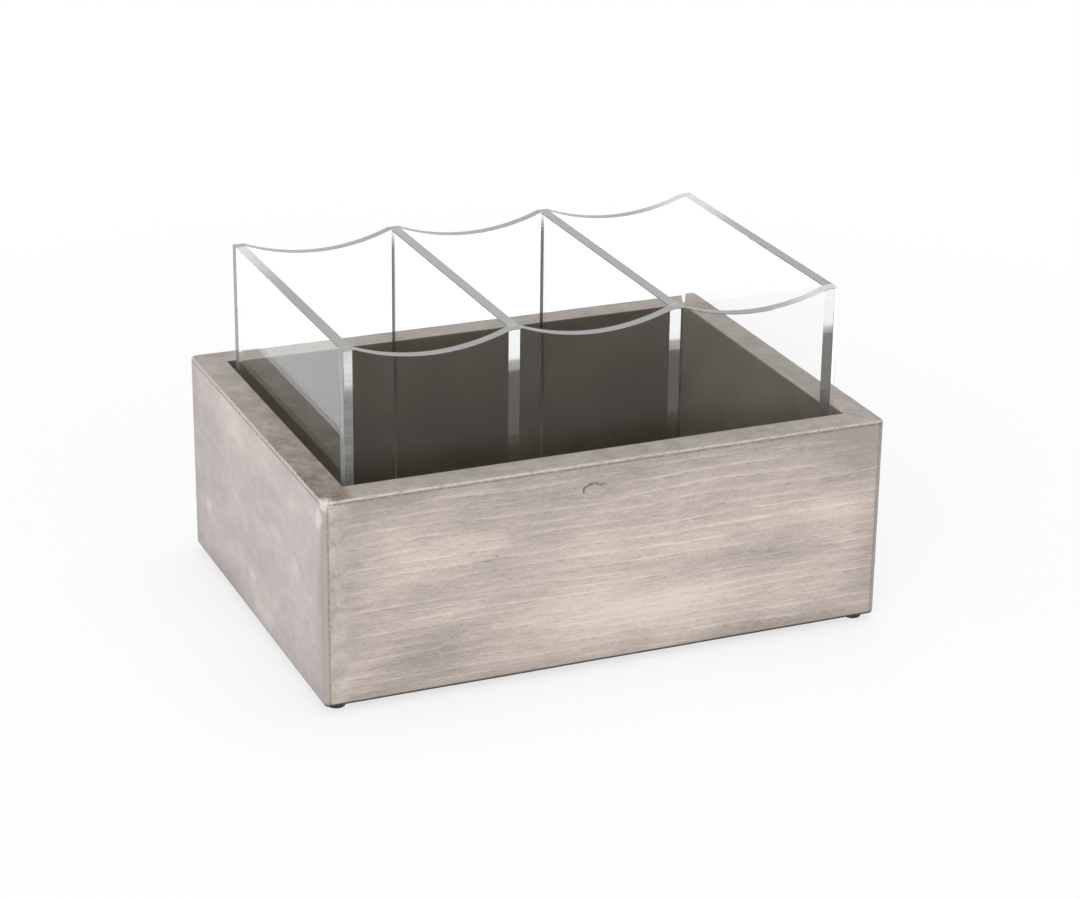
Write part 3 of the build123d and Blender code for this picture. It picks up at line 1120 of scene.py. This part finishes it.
def sheet_piece(name, low, high, arc_columns, broad, end_axis, near_end, far_end):
    """One sheet of the insert, in the materials of its broad faces and of its ends along end_axis."""
    bm = slab(low, high)
    for x in arc_columns:
        cut(bm, (x, 0, 0), (1, 0, 0))
    if arc_columns:
        for vertex in bm.verts:
            if vertex.co.z > insert_top - tiny:
                vertex.co.z = top_height(vertex.co.x)
    bm.normal_update()
    for face in bm.faces:
        if face.normal.z > 0.7 and face.calc_center_median().z > insert_top - 2 * scallop_sag:
            face.material_index = SATIN
        elif abs(face.normal[end_axis]) > 0.7:
            face.material_index = NEAR_END if face.normal[end_axis] < 0 else FAR_END
        else:
            face.material_index = CLEAR
    sharp = [e for e in bm.edges if len(e.link_faces) == 2 and e.calc_face_angle() > math.radians(60)]
    open_edges = [e for e in sharp if not on_glued_end(e, low, high, end_axis)]
    round_edges(bm, open_edges, edge_radius, 2)
    materials = [broad, satin, near_end, far_end]
    finish(bm, name + "_clear", "insert", materials, "clear_acrylic", 20, name)


print("the edges of a sheet are eased by", edge_radius / mm, "mm")

# %% The seven sheets
glue_gap = 0.06 * mm
for name in ("insert_front_panel", "insert_back_panel"):
    low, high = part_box(name)
    sheet_piece(name, low, high, columns, clear, 0, sawn_panel, polished)
along = Vector((0, glue_gap, 0))
for name, broad, end in (
    ("insert_left_wall", bright, sawn_left), ("insert_right_wall", clear, sawn_right),
):
    low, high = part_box(name)
    sheet_piece(name, low + along, high - along, [], broad, 1, end, polished)
for name in ("insert_left_divider", "insert_right_divider"):
    low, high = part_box(name)
    sheet_piece(name, low + along + Vector((0, 0, glue_gap)), high - along, [], clear, 1, glued, glued)
low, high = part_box("insert_base")
around = Vector((glue_gap, glue_gap, 0))
sheet_piece("insert_base", low + around, high - around, [], clear, 0, clear, clear)

# %% [markdown]
# ## Floor, light and camera
#
# The object stands on a plain white floor in soft studio light. The world is an even dome at a
# level where a colour renders about as it is written, and one large soft lamp from the front left
# gives shape. The floor and the world look white to the camera, to reflections and through the
# acrylic, while the object's own light comes from the plain levels. The floor keeps part of its
# real light, and so keeps the shadow.

# %% What looks white
white_through_sheets = 1.14     # each sheet keeps back a little of the light


def white_level(tree):
    """How bright plain white looks: a little over 1 for rays that come through a sheet."""
    through = add(tree, "LightPath", {}, "Is Transmission Ray")
    inputs = {"Value": through, "To Min": 1.0, "To Max": white_through_sheets}
    return add(tree, "MapRange", inputs)


def looking_share(tree):
    """1 for rays that look at something: from the camera, off gloss or through the acrylic."""
    path = add(tree, "LightPath", {}).node
    seen = add(
        tree, "Math", {0: path.outputs["Is Camera Ray"], 1: path.outputs["Is Glossy Ray"]},
        operation="MAXIMUM",
    )
    return add(tree, "Math", {0: seen, 1: path.outputs["Is Transmission Ray"]}, operation="MAXIMUM")


print("white seen through a sheet is set to", white_through_sheets)

# %% Floor
floor_reach = 12.0
glow_near = 0.7                 # share of the floor's look that is plain white, beside the object
glow_starts = 0.22
glow_full = 0.75                # from this far out, all of it is

bm = bmesh.new()
bmesh.ops.create_grid(bm, x_segments=4, y_segments=4, size=floor_reach)
floor_mesh = bpy.data.meshes.new("floor")
bm.to_mesh(floor_mesh)
bm.free()
floor = bpy.data.objects.new("floor", floor_mesh)
bpy.context.scene.collection.objects.link(floor)
floor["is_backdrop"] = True

paper, tree, surface, place = new_material("white_studio_floor")
feed(tree, surface, {"Base Color": linear("#FAFAFA"), "Roughness": 0.9, "Specular IOR Level": 0.0})
white = add(tree, "Emission", {"Color": (1.0, 1.0, 1.0, 1.0), "Strength": white_level(tree)})
far_out = add(tree, "VectorMath", {0: place}, "Value", operation="LENGTH")
glow = add(
    tree, "MapRange",
    {"Value": far_out, "From Min": glow_starts, "From Max": glow_full, "To Min": glow_near},
    interpolation_type="SMOOTHSTEP",
)
share = add(tree, "Math", {0: looking_share(tree), 1: glow}, operation="MULTIPLY")
both = add(tree, "MixShader", {0: share, 1: surface.outputs[0], 2: white})
tree.links.new(both, tree.nodes["Material Output"].inputs["Surface"])
floor_mesh.materials.append(paper)
print("the floor is plain white from", glow_full, "m out")

# %% World
dome_strength = 0.6

world = bpy.data.worlds.new("studio")
bpy.context.scene.world = world
world.use_nodes = True
tree = world.node_tree
level = add(
    tree, "MapRange", {"Value": looking_share(tree), "To Min": dome_strength, "To Max": white_level(tree)}
)
tree.links.new(level, tree.nodes["Background"].inputs["Strength"])
tree.nodes["Background"].inputs["Color"].default_value = (1.0, 1.0, 1.0, 1.0)
print("the dome lights the object at", dome_strength)

# %% Lamps
def soft_lamp(name, place, size, power):
    """A square area lamp that looks at the middle of the object."""
    light = bpy.data.lights.new(name, "AREA")
    light.size = size
    light.energy = power
    lamp = bpy.data.objects.new(name, light)
    lamp.location = place
    look = Vector((0.0, 0.0, 0.08)) - Vector(place)
    lamp.rotation_mode = "QUATERNION"
    lamp.rotation_quaternion = look.to_track_quat("-Z", "Y")
    bpy.context.scene.collection.objects.link(lamp)


soft_lamp("front_left_softbox", (-1.3, -1.7, 1.1), 1.4, 22.0)
soft_lamp("top_softbox", (0.4, 0.3, 2.2), 1.6, 14.0)
print("two soft lamps")

# %% [markdown]
# The camera stands where the photograph was taken from. Its angles, distance and focal length come
# from matching the model's corners with the picture's, 1080 x 899 pixels, and need no shift.
#
# Seen end on, an acrylic sheet is a light pipe: light from far below or above runs along it by
# bouncing between its two faces, so Cycles is allowed more bounces than it takes by itself.

# %% Camera
light_pipe_bounces = 24
picture_width = 1080
focal_pixels = 2981.7           # focal length measured in the picture's pixels
turn = math.radians(-22.952)
rise = math.radians(21.851)
roll = math.radians(0.694)
distance = 1.5872
target = Vector((6.71 * mm, 0.0, 76.21 * mm))

back = Vector((math.sin(turn) * math.cos(rise), -math.cos(turn) * math.cos(rise), math.sin(rise)))
level_right = Vector((0, 0, 1)).cross(back).normalized()
level_up = back.cross(level_right)
right = math.cos(roll) * level_right + math.sin(roll) * level_up
up = -math.sin(roll) * level_right + math.cos(roll) * level_up

camera_data = bpy.data.cameras.new("photograph")
camera_data.sensor_width = 36.0
camera_data.lens = focal_pixels / picture_width * camera_data.sensor_width
camera = bpy.data.objects.new("photograph", camera_data)
camera.location = target + back * distance
camera.rotation_mode = "QUATERNION"
camera.rotation_quaternion = Matrix((right, up, back)).transposed().to_quaternion()
bpy.context.scene.collection.objects.link(camera)
bpy.context.scene.camera = camera
bpy.context.scene.view_settings.view_transform = "Standard"
bpy.context.scene.cycles.max_bounces = light_pipe_bounces
bpy.context.scene.cycles.transmission_bounces = light_pipe_bounces
bpy.context.scene.cycles.glossy_bounces = light_pipe_bounces
print("lens", round(camera_data.lens, 2), "mm")

# %% Print the sizes and finish
low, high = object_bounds()
print("visual model from", tuple(low), "to", tuple(high))
